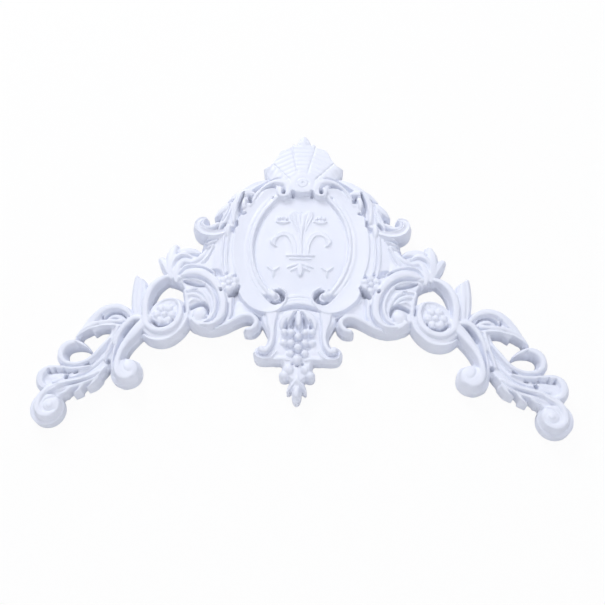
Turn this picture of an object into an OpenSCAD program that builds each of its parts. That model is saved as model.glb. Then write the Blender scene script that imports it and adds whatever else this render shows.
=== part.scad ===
// Rococo door pediment: one cast moulding that is fixed flat above a door.
// The scrollwork is laid out for the right half and mirrored. Layout points are
// round numbers in mm from the fixing face behind the oval cartouche; x runs
// outwards, y runs up, and the relief rises from the back plate.

/* [Size] */
// Overall width across the two wings
width = 600; // [420:10:840]
// Overall height from the lowest scrolls to the finial
height = 387; // [270:1:540]
// Depth from the back face to the tallest carving
depth = 28; // [23:0.5:38]

/* [Plate] */
// Thickness of the back plate
plate_t = 13; // [8:0.5:16]
// How far the plate stands out round the carving
ledge = 3; // [1.5:0.5:5]
// Gaps in the scrollwork narrower than twice this are closed
web = 1.5; // [0.5:0.25:3]

/* [Cartouche] */
// Radius of each side arc of the oval panel
oval_r = 92; // [76:1:112]
// Half of the panel's width
oval_half_w = 55; // [45:1:62]
// Width of the bead round the panel
bead_w = 5.5; // [3:0.5:8]
// Width of the hollow band outside the bead
cove_w = 20; // [16:0.5:26]
// Width of one reed beside the band
reed_w = 4; // [2.5:0.25:6]
// Radius of the volute eyes
eye_r = 6; // [4:0.5:8]

/* [Crest] */
// Number of ribs across the shell
shell_ribs = 6; // [3:1:8]
// Distance from one rib to the next
rib_pitch = 6.8; // [5:0.2:8]
// Radius of the round boss on the shell
boss_r = 9; // [6:0.5:12]

/* [Rosettes] */
// Petals on each rosette
petals = 6; // [5:1:8]
// Radius of the inner rosette
rosette_r = 12; // [8:0.5:15]
// Radius of the outer rosette
rosette2_r = 11; // [8:0.5:14]

/* [Pendant] */
// Radius of a grape
grape_r = 4.2; // [3:0.2:5.4]
// Distance between grapes
grape_pitch = 8.5; // [7:0.25:10]
// Radius of the lowest grape
last_grape_r = 6; // [4.5:0.25:7.5]

/* [Carving] */
// Width of the leaf and scroll bands against their drawn width
band_scale = 1; // [0.75:0.05:1.25]

/* [Hidden] */
layout_w = 597.5; // size of the drawn layout
layout_h = 387;
sx = width / layout_w;
sy = height / layout_h;
rise = depth - plate_t;
oval_cy = -7;
oval_cx = oval_half_w - oval_r;
// Each band: its line, its half widths along the line, its heights from 0 at the
// plate to 1 at full depth, and how many steps it takes.
crest_bands = [
    [[[60, 47], [57, 58], [51, 70], [42, 79], [32, 82], [22, 79], [16, 71], [16, 63], [22, 58], [29, 60]],
        [3, 3.5, 4, 4, 4, 4, 3.5, 4, 4, 3], [0.5, 0.7, 0.8, 0.85, 0.85, 0.85, 0.85, 0.9, 0.9, 0.8], 9],
    [[[56, 83], [67, 76], [77, 66], [87, 56]], [3, 6, 5, 2], [0.3, 0.5, 0.6, 0.3], 4],
    [[[62, 70], [72, 66], [80, 56], [83, 44], [84, 28]], [3, 4, 4, 4.5, 3], [0.5, 0.6, 0.7, 0.75, 0.6], 5],
    [[[85, 46], [93, 41], [103, 33]], [3, 5, 2], [0.5, 0.6, 0.3], 3],
    [[[86, 40], [91, 30], [96, 18]], [3, 6, 5], [0.6, 0.6, 0.6], 2],
];
ear_bands = [
    [[[88, 9], [98, 13], [109, 13], [120, 15], [126, 23], [122, 31], [114, 31], [110, 25]],
        [3, 5, 5.5, 6, 6, 5, 4, 3], [0.6, 0.8, 0.95, 1, 1, 1, 0.95, 0.8], 9],
];
shoulder_bands = [
    [[[98, 2], [99, -16], [97, -40]], [5, 5, 4], [0.35, 0.35, 0.3], 2],
    [[[97, -4], [107, -8], [118, -11]], [3, 4, 2], [0.5, 0.6, 0.5], 3],
    [[[102, -8], [108, -24], [120, -35], [136, -38], [144, -50]], [3, 4, 4, 4, 4], [0.45, 0.5, 0.6, 0.6, 0.6], 5],
    [[[116, -19], [128, -14], [139, -21], [142, -34], [143, -48]], [3, 7, 7, 6, 5], [0.4, 0.5, 0.5, 0.6, 0.6], 5],
    [[[151, -10], [151, -28], [147, -48]], [6, 8, 5], [0.35, 0.5, 0.65], 3],
    [[[166, -26], [160, -36], [152, -52]], [4, 7, 4], [0.35, 0.5, 0.6], 3],
];
middle_bands = [
    [[[142, -58], [128, -50], [112, -52], [99, -63], [91, -80], [90, -97], [96, -111], [108, -118], [119, -113],
        [126, -101]], [5, 6, 6.5, 7, 7, 7, 7, 6, 5, 3], [0.6, 0.7, 0.75, 0.8, 0.8, 0.8, 0.8, 0.8, 0.7, 0.5], 10],
    [[[135, -62], [121, -61], [109, -70], [102, -84], [102, -100]], [2.5, 3, 3.5, 3.5, 2.5],
        [0.5, 0.6, 0.6, 0.6, 0.5], 5],
    [[[106, -79], [114, -72], [124, -74], [130, -86], [128, -101]], [3, 5, 5, 4, 3], [0.4, 0.6, 0.6, 0.5, 0.4], 4],
    [[[70, -84], [76, -96], [84, -108], [96, -120]], [5, 5, 4.5, 4], [0.3, 0.5, 0.5, 0.4], 3],
    [[[90, -120], [76, -112], [63, -102], [53, -99], [45, -105], [47, -113]], [3, 4.5, 5, 4.5, 4.5, 3],
        [0.4, 0.6, 0.7, 0.75, 0.7, 0.6], 6],
    [[[78, -118], [66, -112], [58, -117]], [4, 5, 3], [0.35, 0.45, 0.4], 2],
];
outer_scroll_bands = [
    [[[131, -76], [130, -92], [133, -108], [142, -120], [155, -125], [167, -121], [175, -110]],
        [4, 5, 6, 6, 6, 6, 4], [0.5, 0.7, 0.75, 0.75, 0.75, 0.7, 0.6], 8],
    [[[152, -54], [164, -57], [173, -69], [177, -87], [176, -103], [168, -116]],
        [4, 5.5, 6, 6, 6, 4], [0.6, 0.75, 0.8, 0.8, 0.75, 0.6], 6],
    [[[136, -72], [146, -78], [156, -88]], [5, 8, 7], [0.4, 0.45, 0.3], 3],
];
reed_leaf_bands = [
    [[[189, -104], [185, -80], [185, -54]], [3, 4, 4], [0.4, 0.5, 0.3], 3],
    [[[193, -103], [196, -80], [195, -54]], [3, 4, 4], [0.4, 0.45, 0.3], 3],
];
curl_bands = [
    [[[172, -104], [181, -113], [190, -130], [197, -148], [200, -162], [195, -174], [185, -177], [178, -170],
        [182, -162]], [5, 7, 9, 9, 8, 7, 6, 5, 3], [0.6, 0.7, 0.75, 0.8, 0.85, 0.85, 0.8, 0.75, 0.7], 10],
];
wing_bands = [
    [[[180, -101], [192, -107], [202, -122], [210, -140], [218, -157], [222, -172]],
        [4, 6, 6, 6, 5, 4], [0.6, 0.75, 0.75, 0.7, 0.65, 0.5], 5],
    [[[190, -101], [200, -93], [212, -91], [220, -97], [222, -108]], [3.5, 5, 5, 5, 2.5],
        [0.6, 0.7, 0.75, 0.75, 0.5], 5],
    [[[214, -94], [229, -98], [247, -112]], [4, 9, 2], [0.5, 0.45, 0.2], 4],
    [[[200, -112], [220, -112], [238, -117], [254, -126]], [5, 6, 8, 3], [0.5, 0.65, 0.6, 0.3], 4],
    [[[234, -140], [248, -134], [262, -136], [271, -146], [268, -156], [254, -160]],
        [2, 5, 6.5, 6.5, 6, 4], [0.4, 0.6, 0.7, 0.65, 0.5, 0.4], 6],
    [[[206, -124], [218, -141], [232, -153], [256, -157]], [5, 7, 6, 4], [0.5, 0.6, 0.55, 0.4], 4],
    [[[226, -160], [245, -166], [262, -165], [276, -164], [287, -171], [289, -182], [281, -190], [270, -188]],
        [5, 5, 5, 6, 7, 7, 5, 3], [0.5, 0.55, 0.55, 0.6, 0.65, 0.65, 0.6, 0.5], 8],
    [[[220, -166], [234, -178], [252, -182], [267, -186], [280, -194], [287, -206], [286, -218], [277, -227],
        [265, -226], [258, -217], [261, -208], [270, -205]],
        [4, 5, 5, 6, 6, 5.5, 5, 4.5, 4.5, 4, 4, 3],
        [0.6, 0.7, 0.75, 0.8, 0.85, 0.85, 0.85, 0.85, 0.85, 0.85, 0.85, 0.8], 13],
    [[[218, -170], [228, -187], [244, -197], [261, -202]], [4, 7, 6, 3], [0.5, 0.5, 0.5, 0.4], 4],
];
// Roots of the pointed teeth along the underside of the lowest leaf
tooth_roots = [[224, -182], [232, -188], [242, -193]];
pendant_bands = [
    [[[20, -96], [23, -112], [24, -130], [29, -146], [38, -151], [46, -145], [44, -136], [37, -137]],
        [4, 3.5, 3.5, 4, 4, 4, 3.5, 2.5], [0.5, 0.6, 0.65, 0.7, 0.75, 0.75, 0.75, 0.7], 10],
    [[[12, -150], [20, -147], [30, -152]], [4, 6, 4], [0.3, 0.35, 0.3], 2],
];

function mix(list, t) = let (k = min(t, 0.9999) * (len(list) - 1), i = floor(k), f = k - i)
    list[i] * (1 - f) + list[i + 1] * f;
function at(p, i) = p[max(0, min(len(p) - 1, i))];
// A smooth line through the drawn points
function smooth(p, t) = let (k = min(t, 0.9999) * (len(p) - 1), i = floor(k), f = k - i,
    a = at(p, i - 1), b = p[i], c = p[i + 1], d = at(p, i + 2))
    0.5 * (2 * b + (c - a) * f + (2 * a - 5 * b + 4 * c - d) * f * f + (3 * b - a - 3 * c + d) * f * f * f);
function unit(v) = v / max(norm(v), 0.001);
function across(p, t) = let (d = unit(smooth(p, min(1, t + 0.02)) - smooth(p, max(0, t - 0.02)))) [-d.y, d.x];
function top_z(k) = plate_t + k * rise;
// One cross-section of a band: a flattened ridge, or a sharp one on a slender band
function section(s, z, h) = max(s[1]) < 4.6 ? [[-1, z], [0, h], [1, z]] : [[-1, z], [-0.45, h], [0.45, h], [1, z]];
function slice(s, t) = let (c = smooth(s[0], t), n = across(s[0], t), w = mix(s[1], t) * band_scale,
    h = top_z(mix(s[2], t)))
    [for (q = section(s, plate_t - 1, h)) [c.x + n.x * w * q.x, c.y + n.y * w * q.x, q.y]];

module hull_of(points) {
    hull() polyhedron(points, [[for (i = [0 : len(points) - 1]) i]]);
}

module band(s) {
    n = s[3];
    for (i = [0 : n - 1]) hull_of(concat(slice(s, i / n), slice(s, (i + 1) / n)));
}

module bands(list) {
    for (s = list) band(s);
}

// The outline that a band covers on the plate
module foot(s) {
    n = s[3];
    for (i = [0 : n - 1]) {
        a = slice(s, i / n);
        b = slice(s, (i + 1) / n);
        hull() polygon([for (q = [a[0], a[len(a) - 1], b[len(b) - 1], b[0]]) [q.x, q.y]]);
    }
}

module feet(list) {
    for (s = list) foot(s);
}

// A low rounded boss, standing on the plate
module dome(c, r, k, sides = 6) {
    h = top_z(k);
    translate([c.x, c.y, 0]) hull() {
        translate([0, 0, plate_t - 1]) cylinder(r = r, h = 1 + 0.3 * (h - plate_t), $fn = sides);
        translate([0, 0, plate_t]) cylinder(r = r * 0.5, h = h - plate_t, $fn = sides);
    }
}

// A drop that is pointed at both ends
module drop(c, r, long, lean, k) {
    translate([c.x, c.y, 0]) rotate(lean) hull() {
        translate([0, 0, plate_t - 1]) scale([1, long / r, 1]) cylinder(r = r, h = 2, $fn = 6);
        translate([0, 0, plate_t]) scale([1, long / r, 1]) cylinder(r = r * 0.35, h = top_z(k) - plate_t, $fn = 4);
    }
}

module rosette(c, r, k) {
    for (i = [0 : petals - 1]) {
        a = 360 / petals * (i + 0.5);
        translate([c.x, c.y, 0]) rotate(a) hull_of([[r * 0.3, 0, plate_t - 1], [r * 0.75, -r * 0.34, plate_t - 1],
            [r * 1.05, 0, plate_t - 1], [r * 0.75, r * 0.34, plate_t - 1], [r * 0.65, 0, top_z(k)]]);
    }
    dome(c, r * 0.38, min(1, k + 0.1), 6);
}

function arc(c, r, a0, a1) = [for (i = [0 : 4]) let (a = a0 + (a1 - a0) * i / 4) [c.x + r * cos(a), c.y + r * sin(a)]];
oval_c = [oval_cx, oval_cy];
cove_r = oval_r + bead_w + cove_w / 2;
bead_line = arc(oval_c, oval_r + bead_w / 2, 41, -43);
cove_line = concat([[28, 61], [38, 65], [50, 57]], arc(oval_c, cove_r, 26, -36), [[51, -79], [39, -88], [27, -88],
    [18, -81], [17, -73], [24, -70]]);
frame_bands = [
    [cove_line, concat([5, 7, 8], [for (i = [0 : 4]) cove_w / 2 - 0.5], [8, 7, 6, 5, 4.5, 4]),
        concat([0.7, 0.65, 0.6], [for (i = [0 : 4]) 0.45], [0.5, 0.6, 0.7, 0.8, 0.85, 0.85]), 12],
    [bead_line, [bead_w / 2, bead_w / 2], [0.7, 0.7], 6],
];
reed_x = oval_cx + oval_r + bead_w + cove_w + 2.5 + reed_w / 2;
reed_bands = [for (i = [0, 1]) let (x = reed_x + i * (reed_w + 1))
    [[[x, 3], [x, -20], [x - 5 + 2 * i, -46]], [reed_w / 2 + 0.6, reed_w / 2 + 0.6, reed_w / 2], [0.5, 0.5, 0.45], 2]];
all_bands = concat(crest_bands, ear_bands, shoulder_bands, middle_bands, outer_scroll_bands, reed_leaf_bands,
    curl_bands, wing_bands, pendant_bands, frame_bands, reed_bands);

// Shell crest: its outline steps down from the finial in three tiers
shell_top = [[0, 152], [6, 146], [7, 136], [14, 140], [18, 133], [29, 128], [36, 115], [42, 106], [48, 102], [48, 92]];
boss_c = [0, 80];

module shell_outline() {
    polygon(concat(shell_top, [[30, 70], [12, 66], [0, 66]]));
}

module shell() {
    intersection() {
        linear_extrude(depth) shell_outline();
        hull() {
            translate([0, boss_c.y, 0]) cylinder(r = 26, h = top_z(0.75), $fn = 20);
            linear_extrude(top_z(0.2)) shell_outline();
        }
    }
}

module shell_ribs() {
    for (i = [1 : shell_ribs]) {
        r = boss_r + 2 + i * rib_pitch;
        reach = r > 44 ? 66 : acos(min(1, 44 / (r + 8)));
        k = 0.85 - i * 0.06;
        band([arc(boss_c, r, 180 - reach, reach), [rib_pitch * 0.3, rib_pitch * 0.36, rib_pitch * 0.3],
            [k - 0.12, k, k - 0.12], 6]);
    }
}

module footprint() {
    difference() {
        offset(delta = ledge) carved_area();
        // openings between the scrolls and leaves
        polygon([[137, -65], [157, -60], [165, -71], [167, -83], [159, -72], [148, -70]]);
        polygon([[214, -118], [232, -125], [244, -129], [240, -136], [231, -137]]);
        polygon([[237, -143], [259, -142], [255, -147], [245, -149]]);
    }
}

module carved_area() {
    offset(delta = -web) offset(delta = web) {
        feet(all_bands);
        intersection() {
            translate([oval_cx, oval_cy]) circle(r = cove_r, $fn = 48);
            translate([0, -90]) square([90, 158]);
        }
        translate([117, 21]) circle(r = 11, $fn = 14);
        translate([152, -101]) circle(r = 20, $fn = 14);
        translate([188, -166]) circle(r = 15, $fn = 14);
        translate([270, -210]) circle(r = 19, $fn = 16);
        translate([108, -90]) circle(r = 22, $fn = 14);
        polygon([[0, -80], [20, -88], [34, -100], [34, -120], [46, -140], [46, -150], [24, -156], [19, -172],
            [8, -182], [8, -188], [3, -198], [0, -198]]);
        polygon([[78, -30], [98, -30], [110, -50], [90, -90], [88, -116], [50, -102], [50, -90]]);
        polygon([[194, -98], [232, -102], [244, -112], [206, -120], [196, -116]]);
        polygon([[230, -158], [275, -170], [286, -180], [262, -190], [240, -182]]);
        for (t = tooth_roots) polygon([[t.x - 5, t.y + 6], [t.x + 6, t.y - 10], [t.x + 7, t.y + 6]]);
    }
}

module half_body() {
    linear_extrude(plate_t) footprint();
    bands(all_bands);
    shell();
    // flat panel inside the bead
    linear_extrude(plate_t + 1) intersection() {
        translate([oval_cx, oval_cy]) circle(r = oval_r, $fn = 28);
        translate([0, -80]) square([60, 146]);
    }
    // blossoms and arms of the panel's low motif
    drop([21, 27], 8, 4, 0, 0.25);
    band([[[10, -18], [11, -3], [18, 4], [26, 3], [31, -3]], [2, 2, 2, 2, 1.5], [0.24, 0.26, 0.26, 0.26, 0.24], 4]);
    // volute eyes, drops and bosses
    dome([27, 61], eye_r - 1, 0.85);
    dome([28, -73], eye_r, 0.9, 8);
    drop([70, 52], 4.5, 12, -4, 0.8);
    drop([87, 14], 4.5, 11, 0, 0.75);
    dome([112, -101], 9.5, 0.95, 8);
    dome([269, -214], eye_r, 0.8);
    rosette([82, -56], rosette_r, 0.75);
    rosette([155, -105], rosette2_r, 0.75);
    for (t = tooth_roots)
        hull_of([[t.x - 4, t.y + 6, plate_t - 1], [t.x + 6, t.y + 6, plate_t - 1], [t.x + 6, t.y - 9, plate_t - 1],
            [t.x + 2, t.y + 2, top_z(0.5)]]);
    // leaf cap and grapes of the pendant
    drop([8, -97], 5, 11, 12, 0.55);
    drop([16, -101], 4, 10, 16, 0.45);
    for (row = [0 : 3], i = [0 : 1])
        dome([(i + (row % 2 == 0 ? 0.85 : 0.6)) * grape_pitch * (row > 1 ? 0.8 : 1), -116 - row * grape_pitch * 1.15],
            grape_r, 0.6, 5);
    dome([7, -168], 5, 0.55);
    dome([15, -171], 4.5, 0.45);
    drop([8, -186], 3, 6, 25, 0.35);
}

module centre_body() {
    shell_ribs();
    band([[[0, 136], [0, 143], [0, 151]], [6, 7, 2], [0.4, 0.6, 0.35], 2]);
    // bud, stem and foot of the panel's motif
    drop([0, 14], 7, 19, 0, 0.28);
    band([[[-14, -21], [14, -21]], [2, 2], [0.26, 0.26], 1]);
    drop([0, -35], 9, 11, 0, 0.26);
    dome(boss_c, boss_r, 0.95);
    dome(boss_c, boss_r * 0.5, 1);
    drop([0, -99], 5, 14, 0, 0.7);
    for (i = [0 : 2]) dome([0, -121 - i * grape_pitch * 1.5], grape_r, 0.7, 5);
    dome([0, -152], last_grape_r, 0.75);
    drop([0, -174], 5, 8, 0, 0.4);
    drop([0, -192], 5, 8, 0, 0.5);
}

module pediment() {
    color([0.95, 0.95, 0.97]) rotate([90, 0, 0]) scale([sx, sy, 1]) {
        half_body();
        mirror([1, 0, 0]) half_body();
        centre_body();
    }
}

pediment();
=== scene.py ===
import math

import bpy
import numpy as np
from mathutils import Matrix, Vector


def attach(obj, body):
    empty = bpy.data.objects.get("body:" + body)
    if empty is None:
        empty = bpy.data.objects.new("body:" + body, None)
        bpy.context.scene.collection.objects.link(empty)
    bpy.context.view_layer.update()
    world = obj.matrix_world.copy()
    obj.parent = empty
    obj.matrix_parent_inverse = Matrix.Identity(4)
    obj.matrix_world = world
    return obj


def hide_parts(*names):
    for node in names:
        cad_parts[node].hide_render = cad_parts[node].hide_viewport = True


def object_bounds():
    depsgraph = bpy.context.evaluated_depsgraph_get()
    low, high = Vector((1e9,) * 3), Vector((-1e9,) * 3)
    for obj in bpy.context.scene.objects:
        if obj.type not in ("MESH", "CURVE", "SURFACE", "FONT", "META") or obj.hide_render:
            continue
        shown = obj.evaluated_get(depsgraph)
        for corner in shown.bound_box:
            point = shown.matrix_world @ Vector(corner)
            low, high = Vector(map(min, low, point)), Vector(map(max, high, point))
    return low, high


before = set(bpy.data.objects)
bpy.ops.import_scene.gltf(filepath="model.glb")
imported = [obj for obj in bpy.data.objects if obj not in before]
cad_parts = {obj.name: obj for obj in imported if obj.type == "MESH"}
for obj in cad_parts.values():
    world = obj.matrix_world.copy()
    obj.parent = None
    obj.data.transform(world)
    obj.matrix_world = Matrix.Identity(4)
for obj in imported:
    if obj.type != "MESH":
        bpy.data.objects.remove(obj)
cadLow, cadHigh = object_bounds()

casting = {
    "cell": 0.62,  # mm between points of the carved surface before thinning
    "width": 305,  # mm laid out to the right of the middle
    "height": 405,  # mm laid out upwards from the bottom
    "bottom": -245,
    "plate": 13.0,  # mm, thickness of the back plate
    "tallest": 27.98,  # mm, which no carving passes
    "ledge": 0.6,  # mm that the plate stands out round the carving
    "rimWidth": 0.9,  # mm of the outline's edge that is eased, and how far it drops
    "rimDrop": 0.5,
    "wallRun": 2.4,  # mm that a carved wall leans over its whole height
    "roll": 1.6,  # how much further a band on the outline falls to its edges than its own drop
    "domeRoll": 1.5,  # the same for a dome
    "blend": 1.0,  # mm, how softly one band melts into the next
    "softness": 1,  # passes that round the carving as a rubber mould does
    "outlineSoftness": 2,
    "boxGap": 2e-5,  # metres that the casting keeps clear of its box
    "mergeGap": 1e-5,  # metres, for joining the two mirrored halves
    "triangles": 190000,
    "smoothAngle": 42,  # degrees past which an edge stays sharp
}

# Heights across a band, seen along its direction: -1 is its right edge, 1 its left edge, and a height
# of 1 is the crest.
sections = {
    "round": [(-1, 0.0), (-0.9, 0.42), (-0.7, 0.74), (-0.4, 0.94), (0, 1.0),
              (0.4, 0.94), (0.7, 0.74), (0.9, 0.42), (1, 0.0)],
    "flat": [(-1, 0.1), (-0.85, 0.7), (-0.6, 0.96), (0, 1.0), (0.6, 0.96), (0.85, 0.7), (1, 0.1)],
    "ridge": [(-1, 0.0), (-0.5, 0.4), (-0.15, 0.9), (0, 1.0), (0.15, 0.9), (0.5, 0.4), (1, 0.0)],
    "hollow": [(-1, 0.6), (-0.88, 1.0), (-0.7, 0.92), (-0.4, 0.3), (0, 0.0),
               (0.4, 0.3), (0.7, 0.92), (0.88, 1.0), (1, 0.6)],
    "rimRight": [(-1, 0.4), (-0.85, 1.0), (-0.7, 0.98), (-0.5, 0.45), (-0.2, 0.1),
                 (0.3, 0.2), (0.8, 0.4), (1, 0.25)],
    "cove": [(-1, 0.5), (-0.85, 0.12), (-0.5, 0.05), (0, 0.3),
             (0.45, 0.62), (0.8, 0.92), (0.9, 1.0), (1, 0.7)],
}

# Half of the carving as two layers, in mm: its height, and how far each place lies inside the outline
columns = int(casting["width"] / casting["cell"])
rows = int(casting["height"] / casting["cell"])
gridX, gridY = np.meshgrid(np.arange(columns) * casting["cell"],
                           casting["bottom"] + np.arange(rows) * casting["cell"])
height = np.full(gridX.shape, casting["plate"])
cover = np.full(gridX.shape, -50.0)


def ease(t):
    t = np.clip(t, 0, 1)
    return t * t * (3 - 2 * t)


# A smooth curve through the points, with the values spread along it
def smoothLine(points, values, step=1.6):
    p = np.array(points, float)
    v = np.array(values, float)
    if v.ndim == 1:
        v = v[:, None]
    length = np.hypot(*np.diff(p, axis=0).T).sum()
    at = np.linspace(0, len(p) - 1, max(2, int(length / step)))
    low = np.minimum(at.astype(int), len(p) - 2)
    f = (at - low)[:, None]
    a, b, c, d = p[np.maximum(low - 1, 0)], p[low], p[low + 1], p[np.minimum(low + 2, len(p) - 1)]
    line = 0.5 * (2 * b + (c - a) * f + (2 * a - 5 * b + 4 * c - d) * f ** 2
                  + (3 * b - a - 3 * c + d) * f ** 3)
    known = np.linspace(0, len(p) - 1, len(v))
    return line, np.stack([np.interp(at, known, column) for column in v.T], 1)


# The part of the grid within reach of the points
def window(points, reach):
    p = np.array(points, float)
    cell, bottom = casting["cell"], casting["bottom"]
    x0 = max(0, int((p[:, 0].min() - reach) / cell))
    x1 = min(columns, int((p[:, 0].max() + reach) / cell) + 2)
    y0 = max(0, int((p[:, 1].min() - reach - bottom) / cell))
    y1 = min(rows, int((p[:, 1].max() + reach - bottom) / cell) + 2)
    return np.s_[y0:y1, x0:x1]


# Distance to a line, the side it lies on, and the line's own values at the nearest place
def nearLine(points, values, reach):
    line, along = smoothLine(points, values)
    part = window(line, reach)
    x, y = gridX[part], gridY[part]
    nearest = np.full(x.shape, 1e9)
    side = np.ones(x.shape)
    found = np.zeros(x.shape + (along.shape[1],))
    for i in range(len(line) - 1):
        step = line[i + 1] - line[i]
        ahead = (x - line[i, 0]) * step[0] + (y - line[i, 1]) * step[1]
        t = np.clip(ahead / (step @ step + 1e-9), 0, 1)
        dx = x - line[i, 0] - t * step[0]
        dy = y - line[i, 1] - t * step[1]
        gap = dx * dx + dy * dy
        closer = gap < nearest
        nearest = np.where(closer, gap, nearest)
        side = np.where(closer, np.sign(step[0] * dy - step[1] * dx + 1e-12), side)
        value = along[i] + t[..., None] * (along[i + 1] - along[i])
        found = np.where(closer[..., None], value, found)
    return part, np.sqrt(nearest), side, found


# Keeps the higher of the old and the new surface, with a small fillet where they meet
def raiseTo(part, level, inside, blend=casting["blend"]):
    old = height[part]
    near = np.maximum(blend - np.abs(old - level), 0) / blend if blend else 0
    merged = np.maximum(old, level) + near * near * blend * 0.25
    height[part] = np.where(inside > 0, np.maximum(merged, old), old)


# Two lists of values spread over the same length
def together(first, second):
    at = np.linspace(0, 1, max(len(first), len(second)))
    return np.stack([np.interp(at, np.linspace(0, 1, len(v)), v) for v in (first, second)], 1)


# A raised strand along the points; one inside the carving leaves the outline alone
def band(points, halfWidths, tops, section="round", drop=3.0, outline=True):
    part, gap, side, found = nearLine(points, together(halfWidths, tops), max(halfWidths) + 8)
    half, top = found[..., 0], found[..., 1]
    across = np.clip(side * gap / half, -1, 1)
    fine = np.linspace(-1, 1, 81)
    shape = np.interp(fine, *np.array(sections[section]).T)
    # the section's corners are rounded off
    profile = np.convolve(np.pad(shape, 4, "edge"), np.ones(9) / 9, "valid")
    share = np.interp(across, fine, profile)
    level = top - drop * (casting["roll"] if outline else 1) * (1 - share)
    inside = half - gap
    plate = casting["plate"]
    wall = np.minimum(casting["wallRun"], half * 0.5)
    level = plate + (level - plate) * ease(inside / wall)
    raiseTo(part, level, inside)
    if outline:
        cover[part] = np.maximum(cover[part], inside)


# A round or oval swelling; lean turns an oval one, in degrees
def dome(centre, radius, top, drop=3.0, stretch=1.0, lean=0.0, outline=True):
    long = radius * stretch
    turn = math.radians(lean)
    part = window([centre], long + 8)
    dx, dy = gridX[part] - centre[0], gridY[part] - centre[1]
    u = dx * math.cos(turn) + dy * math.sin(turn)
    v = -dx * math.sin(turn) + dy * math.cos(turn)
    far = np.hypot(u, v / stretch)
    inside = radius - far
    level = top - drop * (casting["domeRoll"] if outline else 1) * np.clip(far / radius, 0, 1) ** 2.2
    plate = casting["plate"]
    level = plate + (level - plate) * ease(inside / min(casting["wallRun"], radius * 0.4))
    raiseTo(part, level, inside)
    if outline:
        cover[part] = np.maximum(cover[part], inside)


def ball(centre, radius, top):
    part = window([centre], radius + 2)
    far = np.hypot(gridX[part] - centre[0], gridY[part] - centre[1])
    level = top - radius + np.sqrt(np.maximum(radius ** 2 - far ** 2, 0))
    raiseTo(part, level, radius - far, 0)
    cover[part] = np.maximum(cover[part], radius - far)


# A flat area with walls round it; without a level it only widens the outline
def fill(corners, level=None, rounded=True):
    closed = corners + corners[:1]
    line = smoothLine(closed, [0, 0])[0] if rounded else np.array(closed, float)
    part = window(line, 8)
    x, y = gridX[part], gridY[part]
    nearest = np.full(x.shape, 1e9)
    odd = np.zeros(x.shape, bool)
    for a, b in zip(line[:-1], line[1:]):
        step = b - a
        ahead = (x - a[0]) * step[0] + (y - a[1]) * step[1]
        t = np.clip(ahead / (step @ step + 1e-9), 0, 1)
        nearest = np.minimum(nearest, np.hypot(x - a[0] - t * step[0], y - a[1] - t * step[1]))
        if a[1] != b[1]:
            crosses = (a[1] > y) != (b[1] > y)
            odd ^= crosses & (x < a[0] + (y - a[1]) / (b[1] - a[1]) * step[0])
    inside = np.where(odd, nearest, -nearest)
    cover[part] = np.maximum(cover[part], inside)
    if level:
        plate = casting["plate"]
        raiseTo(part, plate + (level - plate) * ease(inside / casting["wallRun"]), inside)
    return part, inside


# A see-through opening in the plate
def opening(corners):
    kept = cover.copy()
    part, inside = fill(corners)
    cover[:] = kept
    cover[part] = np.minimum(cover[part], -inside - casting["ledge"])


# A rounded channel, never cut below the plate
def groove(points, halfWidths, depths):
    part, gap, _, found = nearLine(points, together(halfWidths, depths), max(halfWidths) + 1)
    near = np.clip(1 - (gap / found[..., 0]) ** 2, 0, 1)
    floor = np.minimum(height[part], casting["plate"])
    height[part] = np.maximum(height[part] - found[..., 1] * near, floor)


# A deep pocket with steep sides, down to its floor above the back
def pit(points, halfWidths, floor=10.0):
    part, gap, _, found = nearLine(points, halfWidths, max(halfWidths) + 1)
    slope = np.maximum(found[..., 0] * 0.4, 0.8)
    share = ease((gap - found[..., 0] + slope) / slope)
    height[part] = np.minimum(height[part], floor + (height[part] - floor) * share)


def beside(centre, far, angle):
    return centre[0] + far * math.cos(angle), centre[1] + far * math.sin(angle)


def arc(centre, radius, start, end, count=6):
    angles = [math.radians(start + (end - start) * i / (count - 1)) for i in range(count)]
    return [beside(centre, radius, angle) for angle in angles]


def soften(layer, passes):
    for _ in range(passes):
        wide = np.pad(layer, 1, "reflect")
        tall = (wide[:-2] + 2 * wide[1:-1] + wide[2:]) / 4
        layer = (tall[:, :-2] + 2 * tall[:, 1:-1] + tall[:, 2:]) / 4
    return layer


cartouche = {
    "centre": (-37, -7),  # mm, middle of the arc of each side
    "beadRadius": 95.3,
    "coveRadius": 110.0,
    "panelLevel": 15.0,
    "reedX": (87.5, 92.8),  # mm, the two reeds beside the frame
}


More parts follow.
